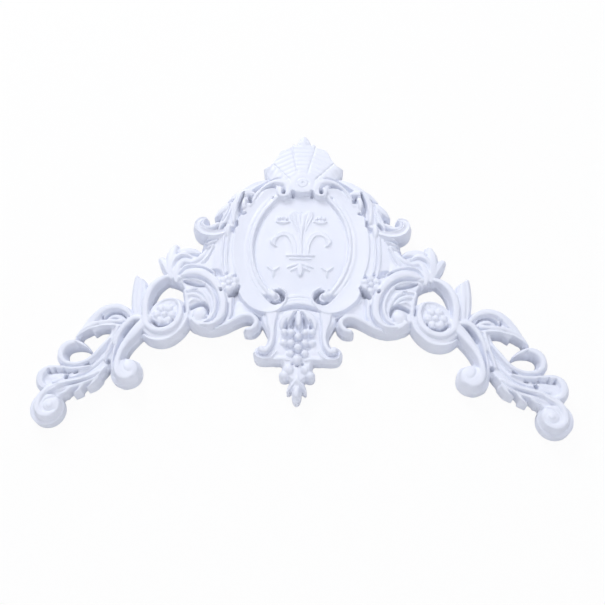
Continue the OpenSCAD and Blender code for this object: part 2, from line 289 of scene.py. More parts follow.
def shapeCartouche():
    centre = cartouche["centre"]
    far = np.hypot(gridX - centre[0], gridY - centre[1])
    inside = np.minimum(np.minimum(97 - far, gridY + 85), 66 - gridY)
    cover[:] = np.maximum(cover, inside)
    # backing behind the shoulder and behind the outer knot, so that no stray hole is left
    fill([(10, -60), (60, -40), (88, -38), (104, -46), (112, -60), (92, -82), (60, -88), (40, -90),
          (20, -84)])
    fill([(180, -100), (196, -110), (204, -126), (198, -134), (186, -118)])
    crown = 1.6 * np.clip(1 - (gridX / 58) ** 2 - ((gridY + 8) / 72) ** 2, 0, 1)
    height[:] = np.where(inside > 0, np.maximum(height, cartouche["panelLevel"] + crown), height)
    # cornice between the lower volutes
    for y, top in ((-71, 17.6), (-76, 18.4), (-80.5, 19.4)):
        band([(0, y), (8, y - 1), (16, y - 3.5), (24, y - 7)], [3.4, 3.4, 3.2, 3], [top], "flat", 0.8)
    cove = arc(centre, cartouche["coveRadius"], 32, -22, 7)
    band(arc(centre, 99.5, 40, -34, 8) + [(40, -68)], [5], [18.6], "flat", 0.3)
    # the frame's cove turns round at its foot into the lower volute
    foot = [(64, -57), (57, -71), (47, -81.5), (36, -87.5), (26, -87.5), (19, -82), (16, -75),
            (18, -66), (24, -61)]
    band([(29, 66), (36, 67), (45, 63)] + cove + foot,
         [6, 7.5, 9] + [10] * 7 + [11, 13, 12, 9, 6.2, 4, 3, 2.8, 2],
         [22.5, 22, 21.5] + [20.8] * 7 + [21, 21.2, 21.5, 21.5, 22, 22.5, 22, 21, 19.5], "cove", 2.0)
    bead = arc(centre, cartouche["beadRadius"], 42, -42, 9)
    band([(28, 62), (32, 60)] + bead + [(33, -64), (30, -70)], [4, 3, 2.8],
         [20.5, 20.2, 20, 20.2, 20.8], "round", 1.3)
    groove(arc(centre, 98.8, 36, -38, 7), [1.0], [0.6])
    groove(arc(centre, 91.6, 36, -40, 7), [1.2], [0.8])
    dome((29.8, -71.2), 5.4, 22, 2)
    pit([(27.5, -64), (22.6, -66), (19.6, -70.4), (19.6, -75), (22.4, -79), (27.6, -79.6), (33, -77.5)],
        [1.1, 2.2, 3.2, 3.4, 2.8, 1.6, 0.9], 2)
    # hollow line where the frame meets the pendant's wing
    pit([(0, -88), (10, -88.5), (19, -92), (28, -97), (38, -98.5), (50, -95.5)],
        [1.8, 1.4, 1.1, 1.1, 1.1, 1], 10)


def shapePanelMotif():
    low = {"drop": 0.9, "outline": False}
    fill([(-5, 12), (5, 12), (10, 22), (15, 33), (14.5, 41), (8, 44), (3, 40), (-3, 40), (-8, 44),
          (-14, 34)], 18)
    for end in ((12.5, 39), (7.5, 40)):
        groove([(3, 14), (end[0] * 0.62, 26), end], [1, 1.2, 0.9], [1.1, 1.3, 0.7])
    groove([(0, 24), (0, 40)], [1.1, 1.4], [0.8, 1.2])
    band([(0, 20), (0, 2), (0, -18)], [3.4, 2.6, 3.4], [18.7], "round", 0.7, outline=False)
    band([(7, -17), (8.8, -3), (13.8, 8), (20.6, 11), (27.4, 9), (31.4, 2.6), (31.6, -4)],
         [3.8, 4, 4.6, 4.2, 3.8, 3.4, 1], [19], "hollow", 1.3, outline=False)
    band([(29.5, 5.5), (34.6, 1.2), (33.4, -3.4), (29.6, -6)], [2, 2.6, 2, 1], [18.7], **low)
    band([(14.5, 27.5), (19, 25.8), (25, 25.8), (30, 27.5)], [1.2, 1.7, 1.7, 1.2], [18.2], **low)
    for x, y in ((18, 32), (22.5, 33.2), (27, 32)):
        dome((x, y), 2.5, 18, 0.8, 1.3, outline=False)
    band([(-4, -18.4), (8, -18.4), (15.6, -18.4)], [1.9], [18.3], "flat", 0.4, outline=False)
    band([(-4, -22.8), (8, -22.8), (12, -22.8)], [1.8], [18], "flat", 0.4, outline=False)
    for root, tip in (((2, -29.5), (15, -34.5)), ((3, -34), (11, -38.5))):
        band([root, ((root[0] + tip[0]) / 2, root[1] - 2.2), tip], [2, 2.8, 0.9], [18], **low)
    dome((0, -38), 5, 19.6, 0.8, 2.3, outline=False)
    for tip in ((38.5, -33), (31.4, -46.5), (24.4, -33.6)):
        band([(31.4, -39), ((31.4 + tip[0]) / 2, (tip[1] - 39) / 2), tip], [1.2, 2.6, 0.8], [17.7],
             **low)


crest = {
    "boss": (0, 78.5),  # mm
    "ribPitch": 6.6,
    "outline": [(-20, 151.5), (0, 151.5), (3.6, 150.5), (5.6, 147.4),
                (7.6, 142.5), (8.6, 138.4), (13, 140.5), (17.5, 134), (28, 130.5), (31, 126),
                (35.5, 116), (42, 106.5), (48.6, 104), (47.6, 97.6), (44, 91), (38, 82), (30, 68),
                (13, 66.4), (9.5, 65), (5, 63.8), (0, 63.3), (-20, 63.3)],
}


def shapeCrest():
    boss = crest["boss"]
    area, inside = fill(crest["outline"], rounded=False)
    x, y = gridX[area] - boss[0], gridY[area] - boss[1]
    # five panels of straight ribs fan out from the boss
    near = np.hypot(x, y)
    angle = np.degrees(np.arctan2(x, y + 14))
    middle = np.where(angle < 12, 0, np.where(angle < 40, 27, 56))
    out = x * np.sin(np.radians(middle)) + y * np.cos(np.radians(middle))
    rib = np.abs(np.sin(math.pi * (out - 13.0) / crest["ribPitch"])) ** 0.7
    seam = np.minimum(np.abs(angle - 12), np.abs(angle - 40)) * near / 57
    base = np.interp(near, [0, 12, 20, 42, 56, 72], [24, 24, 22.5, 19.5, 17.6, 17.2])
    detail = ease((near - 13) / 5)
    base = base - 3.6 * ease((angle - 46) / 12) * ease((near - 32) / 14)
    level = base + detail * (0.85 * rib - 1.5 * np.clip(1 - seam / 1.2, 0, 1))
    plate = casting["plate"]
    raiseTo(area, plate + (level - plate) * ease(inside), inside, 0)
    band([(0, 136), (0, 142), (0, 147)], [5.4, 5, 3.8], [18.6, 19.4, 18.4], "round", 1)
    # boss with its rings
    dome(boss, 9.6, 24.8, 0.5)
    for end in (180, -180):
        groove(arc(boss, 7, 0, end, 12), [1.0], [0.9])
        groove(arc(boss, 3.6, 0, end, 12), [0.8], [0.5])
    pit([boss, (0, boss[1] + 0.4)], [1.3, 1.3], 23)
    # volute over the frame's shoulder
    band([(63, 49), (58.5, 59), (53, 68.5), (45.5, 76), (37, 80.6), (29, 81.6), (22, 79.5), (17, 74.5),
          (15.6, 68), (17.5, 62.5)],
         [3.4, 3.8, 4, 4.2, 4.2, 4.2, 4.2, 4], [20.5, 21, 22.5, 23.5, 24, 24], "round", 0.9)
    dome((22.8, 66.8), 10, 24, 0.8)
    groove([(22.8, 69), (23.2, 72.4), (26, 75.7), (32, 77.3), (39.3, 76), (45.4, 72), (51, 65.5),
            (56, 57)], [2, 1.9, 1.8, 1.6, 1.5, 1.4, 1.2], [6, 5, 3.4, 2.6, 2.2, 1.8, 1.4, 1])
    pit([(23, 65.2), (22.4, 68.5)], [2.3, 2], 10)
    groove([(26.5, 86), (33, 85.8), (41, 82.6), (47.4, 78), (52.6, 72), (58, 63), (62, 54)],
           [1.2, 1.6, 1.6, 1.5, 1.3], [2, 3.5, 3.5, 2.5, 2, 1.6])
    pit([(11.4, 66.4), (11.6, 63)], [1.7, 1.9], 11)


def shapeSideLeaf():
    # acanthus that grows up the frame's shoulder
    fill([(60, 60), (68, 66), (80, 60), (90, 50), (97, 40), (96, 20), (86, 16), (76, 22), (74, 40),
          (66, 52)], 18.5)
    band([(46, 85.5), (56, 80), (67, 71.5), (77, 64.5), (84, 59.5)], [3, 5.4, 6.4, 5.6, 2.5],
         [18, 19.5, 20.5, 20, 17.5], "rimRight", 1.6)
    band([(60, 66), (70, 66), (80, 62), (89, 55)], [4, 6, 5.5, 2.5], [20, 21.5, 21, 18], "round", 2.5)
    band([(64, 70), (74, 64), (80, 52), (82, 38), (82, 26)], [4, 5, 5.5, 5, 4],
         [20, 22.5, 22.5, 22, 21], "round", 2.5)
    band([(82, 52), (90, 47), (97, 41), (103, 34)], [4, 6, 5.5, 2.5], [19.5, 21, 20.5, 18], "round",
         2.5)
    band([(86, 46), (90, 36), (94, 24), (97, 14)], [3, 5, 6, 5], [20, 21.5, 21.5, 20.5], "round", 2.5)
    dome((70, 50.5), 4.6, 23.5, 3, 2.5, 3)
    pit([(65.4, 62.5), (63.6, 57.5), (62.8, 53.5)], [0.9, 2, 2.4], 9)
    pit([(71, 66), (73.5, 58), (75.8, 49), (75, 41), (72, 37), (68, 38)],
        [0.9, 1.3, 1.8, 2.2, 1.9, 1.2], 11)
    groove([(87, 49), (88, 41), (91, 33), (94.5, 26)], [1.1, 1.3, 1.2], [2.4])
    groove([(81.5, 56), (82, 45), (80.5, 34)], [0.9], [0.9])
    pit([(77.8, 27), (78, 21)], [1.6, 2.4], 12)
    dome((88, 13.5), 5.2, 23, 3.2, 2.4, 1)
    groove([(87.5, 24), (87, 14), (88, 5)], [0.8], [0.7])
    pit([(91, 23), (95, 17), (97, 10)], [1.2, 1.8, 2], 13)


def shapeEar():
    band([(90, 14), (97, 9.8), (106, 8), (115, 8.8), (121.5, 12.8), (124.3, 19.5), (121.5, 26),
          (115.5, 28)],
         [4, 5.4, 6.2, 6.5, 6.2, 5.8, 4.8, 3.4], [21.5, 24, 25.5, 26.5, 27, 27, 26.5, 25.5], "hollow",
         2.2)
    band([(100, 22), (107, 17), (114, 16), (118, 20), (116.5, 24.5)], [3.6, 4.2, 3.4, 2.8, 2],
         [22, 23, 24.5, 25.5, 25.5], "round", 2)
    groove([(107, 21.5), (111.5, 22), (115, 20.5), (116, 23.5)], [1.4, 1.5, 1.2], [1.4, 2.4, 2.2])


def shapeShoulder():
    fill([(92, 12), (108, 2), (113, -8), (119, -20), (140, -18), (150, -40), (140, -60), (100, -40),
          (88, -52), (74, -44), (76, -10), (80, 12)], 18.6)
    for x in cartouche["reedX"]:
        band([(x - 1, 6), (x, -12), (x - 0.8, -30), (x - 3.5, -46)], [2.3, 2.5, 2.4, 2.1],
             [20.5, 21, 21, 20.5], "round", 2)
    band([(100, 2), (101, -16), (101, -36)], [5, 5, 4], [18.2, 18, 18], "flat", 0.8)
    for line in ([(97, 7), (105, 3.4), (113, 0)], [(101, 0), (108, -4), (115.6, -6.8)],
                 [(105, -5), (110, -9.4), (116.7, -12.6)]):
        band(line, [2.8, 3.2, 1], [21.5, 22.6, 20.5], "ridge", 1.2)
    for line in ([(99, 1.5), (106, -0.6), (112, -3.6)], [(103, -4), (108.5, -7.4), (114, -10)]):
        groove(line, [1.1], [2.6])
    band([(104, -7), (109, -20), (116, -30)], [2.6, 3.2, 2.4], [20.2], "round", 1.8)
    groove([(103, -11), (107.5, -22), (112.5, -31)], [1.2], [1.6])
    band([(112, -14), (117, -22), (125, -28), (134, -29)], [3, 4.6, 4.6, 3], [19.5, 20.5, 20.5, 19.5],
         "round", 2)
    # crest acanthus over the middle scroll
    band([(121, -17), (127, -15), (135, -14), (143, -15)], [3, 5.5, 6, 5], [17.5, 19, 19.5, 19],
         "round", 2)
    band([(150, -9), (152, -17), (153, -27), (152, -38), (150, -50)], [5, 7, 7, 6, 5],
         [18, 20.5, 21.5, 22, 21.5], "round", 2.5)
    band([(165, -25), (161, -31), (156, -40), (151, -52)], [4, 5.5, 5, 3.5], [18, 20, 21, 21], "round",
         2.2)
    band([(130, -22), (138, -19), (146, -23), (150, -33), (149, -44)], [3, 4, 4.5, 4, 3],
         [19.5, 21, 22, 22.5, 22], "round", 2)
    band([(130, -30), (138, -29), (143, -36), (145, -47), (144, -56)], [3.5, 4.5, 5.5, 5.5, 4],
         [20.5, 21.5, 22.5, 22.5, 22], "round", 2)
    groove([(129, -25), (136, -22.5), (143, -24.5), (148, -31), (149, -40)], [1.3, 1.5, 1.3],
           [2, 2.2, 1.4])
    pit([(156, -48), (160, -45), (164, -46)], [1.4, 2.2, 1.2], 14)


def shapeMiddleScroll():
    fill([(74, -70), (98, -44), (140, -50), (134, -70), (126, -108), (110, -115.5), (96, -115),
          (80, -103)], 19.8)
    band([(98, -46), (106, -39.5), (116, -35.5), (128, -34.5), (137, -38), (142, -46)],
         [1.8, 2.2, 2.4, 2.4, 2.2, 1.8], [21.5, 22, 22, 22], "round", 1.6)
    band([(140, -51), (130, -44.5), (118, -44), (107, -49), (98, -58), (91, -70), (87, -84), (88, -98),
          (93.5, -107.5), (103, -112), (113, -111), (121, -105)],
         [4, 6, 7, 6.8, 6.6, 6.4, 6.2, 6.2, 6, 5.2, 5, 4], [23, 24, 24.5, 25, 25, 25, 25, 25, 24.5, 24],
         "round", 2.6)
    band([(136, -56), (126, -54), (116, -55.5), (107, -62), (100, -72), (96.5, -84), (97.5, -96),
          (102.5, -104), (111, -107), (119, -103)],
         [1.4, 2, 2.4, 2.8, 3.2, 3.4, 3.4, 3.2, 3], [22.5, 23, 23.5, 23.5, 23.5, 23], "round", 1.6)
    groove([(138, -50.5), (126, -50.5), (115, -52), (105, -58), (97, -68), (93, -80), (93, -95),
            (98, -108)], [1.3, 1.4, 1.2, 1.1], [2.2, 2.5, 2, 1.4, 1.2])
    # rim round the outside
    band([(79, -76), (78, -90), (80, -101), (87, -110.5), (96, -115.6), (106, -116), (117, -112)],
         [2, 2.4, 2.4, 2, 1.8, 1.6, 1.4], [19.5, 20, 20, 19, 17, 15.5, 14.5], "round", 1.2)
    groove([(82, -84), (82.5, -97), (87, -106), (94, -112), (102, -114.4), (111, -113.6)],
           [1.4, 1.6, 1.8, 1.8, 1.4], [3, 4, 5, 5, 3])
    # leaf inside the scroll
    band([(132, -68), (122, -66), (112, -70), (105, -79), (102, -90)], [2.6, 3.6, 4, 3.6, 2.6],
         [22, 22.5, 22.5, 22, 21], "round", 1.6)
    band([(132, -75), (124, -72.5), (115, -75.5), (109, -82)], [2.4, 3.4, 3.6, 2.6],
         [22, 22.5, 22.5, 21.5], "round", 1.6)
    band([(128, -84), (122, -79), (115, -81)], [2.8, 3, 2.4], [21.5, 22, 21.5], "round", 1.6)
    band([(133, -69), (130, -78), (129, -90), (127, -102)], [2.6, 3.4, 3, 2.6], [22.5, 22, 21, 20],
         "round", 2)
    pit([(110, -61.5), (119, -60.5), (128, -58), (135, -55.5)], [1, 2, 2.4, 1.2], 13)
    pit([(119, -66.5), (122, -67)], [1.4, 1.2], 19)
    pit([(104, -97), (105, -90), (109, -85.5), (114, -85), (120, -87.5), (124.5, -90.5)],
        [1, 2, 2.6, 2.8, 2.4, 2.2], 10.5)
    dome((113.5, -98), 9.8, 24.6, 2.4)
    groove(arc((112.5, -98.5), 8.6, -150, -60, 6), [1.1], [1.0])


rosette = {
    "cup": 0.75,  # each as a part of the rosette's radius
    "petalAt": 0.62,
    "petal": 0.37,
    "heart": 0.27,
    "vein": (0.55, 0.9),
}


def shapeRosette(centre, radius, top, petals, turn):
    rim = np.linspace(0, 2 * math.pi, 9)[:-1]
    fill([beside(centre, radius * rosette["cup"], angle) for angle in rim], top - 4)
    for i in range(petals):
        angle = math.radians(turn + 360 / petals * i)
        ball(beside(centre, radius * rosette["petalAt"], angle), radius * rosette["petal"], top)
        groove([beside(centre, radius * far, angle) for far in rosette["vein"]], [0.8], [0.5])
    ball(centre, radius * rosette["heart"], top + 0.6)


def shapeRosettes():
    shapeRosette((82, -57.5), 12.5, 23.8, 6, 30)
    pit([(71.5, -64.5), (76, -69.5), (80, -73)], [2.2, 3.4, 2.6], 4)
    for spot in ((70.5, -61), (91, -67), (85.5, -44), (97.5, -46)):
        pit([spot, (spot[0] - 0.6, spot[1] - 1)], [1.8, 1.6], 15)


def shapeOuterScroll():
    # round leaf cup that holds the outer rosette
    dome((151, -98), 20, 20.5, 2.4)
    fill([(130, -82), (150, -76), (168, -84), (176, -110), (160, -126), (138, -114)], 19.6)
    band([(128, -80), (127.5, -92), (130, -108), (137, -119), (147, -127.5), (158, -130.5),
          (169, -128.5), (177, -123)],
         [2.6, 3, 3.2, 3.4, 3.2, 3, 2.6, 2], [21, 21.5, 21.5, 21.5, 21.5, 21.5, 21, 19.5], "round", 1.8)
    band([(141, -81), (136.5, -89), (136, -99), (139.5, -109), (147, -116.5), (157, -119.5),
          (167, -117.5), (174, -111)],
         [3, 4.2, 5.2, 5.4, 5.4, 5.4, 5.2, 5], [22.5, 24, 24.8, 25, 25, 24.8, 24.5], "round", 2.4)
    groove([(131.5, -88), (132, -102), (136, -113), (143, -122), (153, -126), (163, -125.5),
            (171, -122)], [1, 1, 1.2, 1.3, 1.3, 1.1], [0.8, 0.8, 1.2, 1.6, 1.6, 1.2])
    band([(130, -98), (134, -111), (142, -121), (154, -126), (166, -125), (175, -118)], [4], [20.6],
         "flat", 0.2)
    band([(133, -83.5), (140, -80), (149, -78.5), (157, -80.5), (163, -86)], [1.8, 2.4, 2.4, 2.2, 1.6],
         [20, 21, 21, 21, 20], "round", 0.8)
    for start, end in (((140, -85), (147, -92)), ((147, -82.5), (151, -90)),
                       ((156, -83), (156.5, -90))):
        groove([start, end], [0.8, 1.1], [0.7, 1.2])
    pit([(144, -106.5), (148.5, -110.5), (155, -112.8), (162, -111.5), (167.5, -107)],
        [1.6, 1.9, 1.8, 2, 1.6], 10.5)
    shapeRosette((154, -99), 14, 23.6, 6, 0)
    # right side band of the C
    band([(153, -49), (161, -52.5), (169, -60), (174.5, -71), (177, -84), (176.5, -97), (174.5, -107),
          (172, -114)],
         [3.5, 5, 5.8, 6, 5.8, 5.6, 5.6, 5], [21, 23, 24.5, 25, 25, 24.8, 24.6, 24], "round", 2.4)
    groove([(162, -58), (168, -66), (171.8, -77), (173, -92)], [0.9, 1.1, 1], [0.8, 1.2, 0.8])


def shapeReedLeaf():
    fill([(180, -104), (177, -80), (177.5, -62), (182, -53.5), (188, -50), (193.8, -46.5), (195.8, -64),
          (194.8, -84), (190, -104)], 19.6)
    band([(184.5, -102), (185.5, -78), (187.5, -55)], [4.5, 6.5, 5], [21, 21, 19.8], "round", 1)
    for line in ([(183, -98), (181.8, -80), (183, -58)], [(187.5, -98), (189, -78), (189.5, -54)]):
        groove(line, [1.2], [0.7, 0.9, 0.4])


def shapeCurl():
    dome((176, -106), 8, 24, 3)
    fill([(183, -124), (191, -136), (196, -150), (187, -153.5), (179, -157), (176.5, -165), (180, -176),
          (190, -183.5), (199, -182.5), (208, -176), (210, -160), (207, -140), (200, -122)], 15)
    dome((191, -168), 15.2, 25.6, 3)
    band([(172, -104), (179.5, -112), (187, -122.5), (194.5, -134), (199.5, -145), (202, -156),
          (201.5, -166), (197.5, -174), (190.5, -177), (184, -174)],
         [6, 7.4, 7, 5.8, 5.2, 5.2, 5.8, 6, 5.6, 4.6],
         [23, 24, 24.5, 24.5, 25, 25.5, 25.8, 25.8, 25.6, 25], "round", 2.4)
    groove([(192.6, -153), (194.6, -158), (195, -163.5), (192, -169.2), (186.6, -170.8),
            (183.6, -166.6)], [1.4, 1.8, 1.7, 1.3], [2, 1.5, 1.2, 0.9, 0.6, 0.3])
    band([(190, -108), (197, -114), (203, -125), (206.5, -138), (208.5, -152), (208, -165),
          (204, -174)],
         [2.4, 2.6, 2.8, 2.8, 2.6, 2.4, 1.6], [21, 22, 22, 21.5, 20.5, 18.5, 16], "round", 1.8)
    pit([(184, -107), (189, -110.5), (193.5, -117.5), (197, -125)], [1.6, 2.2, 2.3, 1.1], 10)


def shapeWing():
    fill([(190, -98), (215, -92), (236, -104), (246, -116), (236, -122), (216, -118), (226, -140),
          (234, -154), (256, -158), (284, -170), (280, -198), (268, -205), (256, -195), (240, -188),
          (222, -176), (214, -166), (206, -150)], 18)
    # stem from the knot to the end scroll
    band([(178, -104), (189, -104), (198, -112), (204, -124), (208, -136)], [4, 5, 5, 4, 2.6],
         [23, 23.5, 23.5, 23, 22], "round", 2.2)
    band([(207, -116), (210, -130), (214, -144), (217, -156)], [3.6, 3.6, 3.4, 2.4],
         [22.5, 22.5, 22, 21], "round", 2)
    # upper lobe with its curled tongue
    band([(191, -103), (197.4, -95.4), (206.6, -90.4), (216, -90.2), (224.6, -93.2), (232, -99.6),
          (238.8, -107.8), (245, -116), (251, -125)],
         [3, 4.8, 5.4, 5.4, 5.6, 6.2, 6, 4.6, 1.8], [21, 22.5, 23, 23.2, 22.8, 22, 21, 20, 18], "round",
         1.4)
    band([(199, -107), (205, -103.6), (212, -102.4), (219.4, -106.6)], [2.4, 3.6, 3.8, 2],
         [20.5, 21.6, 21.6, 20], "round", 1)
    pit([(198.6, -103.4), (202.6, -99), (208.4, -97), (214.6, -97.6), (220, -100.8), (223, -105.6)],
        [0.8, 1.2, 1.5, 1.9, 1.9, 1.2], 12)
    pit([(225.4, -106.6), (226.6, -100.6)], [1.5, 1], 12)
    groove([(199, -110), (205, -108), (212, -107), (219, -108.6)], [1], [1.6])
    # second lobe
    band([(203, -108), (213, -108.5), (226, -109.5), (238, -113), (249, -120)], [3.4, 3.6, 3.6, 3.6, 2],
         [21.5, 22.5, 22.5, 22, 20], "round", 1.2)
    band([(204, -114), (214, -113), (226, -113.5), (235, -117.5)], [2.8, 3.2, 3.4, 1.6],
         [22, 22.6, 22.2, 19.5], "round", 1)
    band([(232, -114.5), (241, -117), (248, -121.5), (254, -128)], [3.6, 4.4, 4.2, 1.6],
         [21.5, 22, 21, 18.5], "round", 1.2)
    groove([(213, -111.8), (226, -112.8), (238, -116.4), (247, -121.5)], [0.9, 1, 0.9], [0.9, 1.2, 0.9])
    pit([(197, -121), (199.5, -125.5)], [1.5, 1.2], 9)
    # third lobe
    band([(238, -142), (246, -137), (254, -135), (262, -137.4), (267.5, -144), (268, -152.5),
          (262, -159.5), (251, -161), (240, -158), (231, -151.5), (223, -141), (215, -129)],
         [1.6, 3.2, 4.6, 5.4, 5.6, 5.2, 4.2, 3.4, 3.4, 3.8, 4, 3],
         [18.5, 21, 22.5, 23, 23, 22.8, 21.8, 21, 21, 21.5, 21.5, 20.5], "round", 2.2)
    pit([(249.5, -138.5), (252.5, -136.4)], [1.4, 1.1], 17)
    groove([(213, -134), (219, -144), (226, -153.5), (235, -162.5), (247.8, -168.6), (258, -171.6)],
           [1.1, 1.3, 1.3, 1.3, 1.2], [1.8, 2.4, 2.6, 2.4, 2.2])
    pit([(236, -160), (240, -163.4)], [1.5, 1.3], 10.5)
    pit([(247.5, -170.6), (250.5, -171.6)], [1.3, 1.2], 11)
    # fourth lobe
    band([(234, -163.5), (245, -166.5), (257, -167), (269, -166.2), (278.5, -166.8), (285.5, -171.5),
          (288, -179), (285.5, -186.5), (278, -190.5), (268, -190)],
         [2.4, 3, 3.2, 3.8, 5, 5.8, 6, 5.4, 4.4, 3],
         [21, 21.5, 21.5, 21.8, 22.5, 23, 23, 22.4, 21.5, 20.5], "round", 2.2)
    band([(250, -177), (262, -180), (272, -183)], [3, 4, 3], [19.5, 20.5, 19.5], "round", 1.5)
    band([(222, -170), (233, -176), (246, -180), (259, -184), (270, -189.5), (279.5, -196),
          (285, -204.5), (286, -214), (281.5, -221.5), (273.5, -223.5), (266, -220)],
         [3.2, 3.6, 3.8, 4.2, 4.8, 5.2, 5.4, 5.4, 5.2, 5, 4],
         [21, 22, 22.5, 23, 24, 25, 25.5, 25.8, 25.8, 25.6, 25], "round", 1.6)
    dome((274, -211.5), 15, 24.8, 2.4)
    dome((271.4, -212), 5, 25.9, 1)
    groove([(260, -200.5), (268, -202.5), (275, -205), (278.6, -209.4), (278.6, -215), (274, -218.8),
            (268, -218.4), (264.6, -214.5), (266.4, -209.6)],
           [1.4, 1.6, 1.7, 1.5], [1.8, 1.6, 1.4, 1.2, 1, 0.8, 0.6, 0.4])
    groove(arc((274, -211.5), 15.6, -150, 30, 9), [1.3], [1.2])
    # thin disc behind the end scroll
    turns = np.linspace(0, 2 * math.pi, 17)[:-1]
    fill([(277.3 + 18.6 * math.cos(a), -212.2 + 18.9 * math.sin(a)) for a in turns], 13.6)
    # lowest leaf with its pointed teeth
    band([(217.5, -166), (224, -175), (233, -181), (244, -186), (257, -190), (268, -194)],
         [2.2, 3.2, 3.4, 3.4, 3.2, 2.6], [20, 20.8, 20.8, 20.5, 20, 19], "round", 1.2)
    teeth = [((223, -176.5), (233.8, -188.2)), ((238, -184.5), (248, -196)),
             ((252, -189.5), (263, -197.4))]
    for root, tip in teeth:
        band([root, ((root[0] + tip[0]) / 2 - 1, (root[1] + tip[1]) / 2 - 0.6), tip], [3.2, 3, 1.1],
             [20.6, 20.4, 18.5], "round", 1.2)
    opening([(236.6, -185.4), (234.6, -190), (240.5, -192)])
    opening([(250.6, -191.4), (249, -198), (256, -197)])
    groove([(222.5, -172.5), (228, -177), (236, -180.6), (247, -183.8), (259, -186.4), (268, -191)],
           [1.1, 1.2, 1.2, 1.1], [1.6, 2.2, 2.4, 2])
    groove([(256, -172), (263, -171), (270, -171.6), (277, -172.6)], [1.3, 1.5, 1.3], [3, 4, 3.4])
    for spot in ((262.5, -168.8), (272.5, -168.6), (279.5, -170)):
        pit([spot, (spot[0] - 0.6, spot[1] - 2.4)], [1.5, 1.7], 13)
    for spot in ((212.9, -156.5), (213.9, -167.5), (258.4, -176)):
        pit([spot, (spot[0] + 0.8, spot[1] - 1.8)], [2.2, 2.2], 9.6)
    for line in ([(241, -178), (251, -180.8), (262, -184)],
                 [(206.5, -122), (209.5, -134), (211.5, -147)],
                 [(266, -187.4), (274, -193), (279.5, -201), (281, -210)]):
        groove(line, [0.9], [0.8])
    groove([(219.5, -155.5), (227.6, -164.5), (237.5, -172), (250, -177.6), (257, -179)],
           [1.2, 1.3, 1.2], [2, 2.4, 2])
    opening([(215, -117), (221.5, -116.5), (228, -117.5), (234.5, -122), (237.5, -118.5),
             (243.6, -121.8), (249, -126), (243.5, -132.5), (237.6, -137), (232, -141), (228.7, -141),
             (223.7, -136.5), (218, -130.5)])
    opening([(236, -143.8), (244, -140), (254.5, -139.8), (261.5, -142.8), (263.4, -148), (260, -153.5),
             (253, -157), (244, -156.4), (237, -152.4), (233.8, -148.4)])


def shapeHook():
    fill([(50, -88), (72, -78), (80, -104), (88, -114), (76, -108), (64, -102), (46, -104), (40, -98)],
         15)
    band([(94, -114.5), (84, -110), (74, -103.5), (64, -98.5), (55, -98), (49, -102.5), (48.2, -109),
          (52.5, -114.5), (58.5, -116)],
         [2.6, 3.6, 4.4, 4.8, 4.8, 4.8, 4.8, 4.6, 3.6], [20, 21, 22, 23, 23.5, 23.5, 23.5, 23, 22.5],
         "round", 2.4)
    pit([(59, -106), (64.5, -106.5), (70, -109.5)], [1.4, 2.2, 1.6], 9)
    pit([(41, -102), (45, -99.5), (51, -96)], [1.6, 1.8, 1.2], 9)


